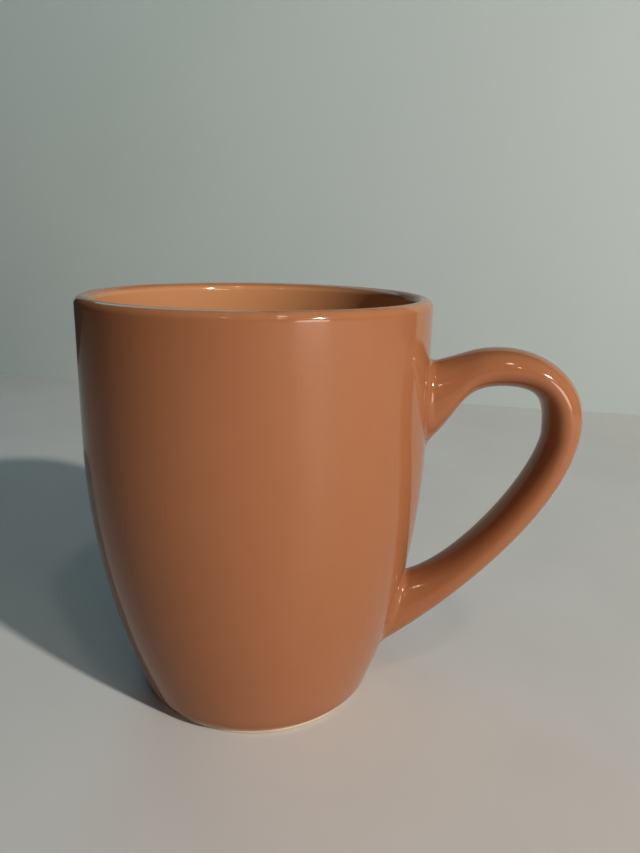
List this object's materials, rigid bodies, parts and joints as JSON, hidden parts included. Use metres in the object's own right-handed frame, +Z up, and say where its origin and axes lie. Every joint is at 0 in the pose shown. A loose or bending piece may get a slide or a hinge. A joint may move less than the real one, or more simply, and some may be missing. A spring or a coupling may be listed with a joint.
{
  "type": "mug",
  "caption": "Tall rounded ceramic mug with an ear-shaped handle luted to its side, glazed all over except for the bare ring it stands on.",
  "frame": {"origin": "centre of the foot recess's mouth, on the cup's axis, in the plane the foot ring stands on", "axes": "+Z up along the cup's axis towards the rim, +X from the axis towards the handle"},
  "size_m": [0.1228, 0.085, 0.103],
  "materials": {
    "glaze": "gloss",
    "stoneware": "matte",
    "slip": "matte"
  },
  "bodies": {
    "root": {"liner_glaze": "glaze", "mug_body": "stoneware", "handle": "stoneware", "upper_slip_joint": "slip", "lower_slip_joint": "slip", "outer_glaze": "glaze", "handle_glaze": "glaze", "foot_recess_glaze": "glaze"}
  },
  "joints": []
}
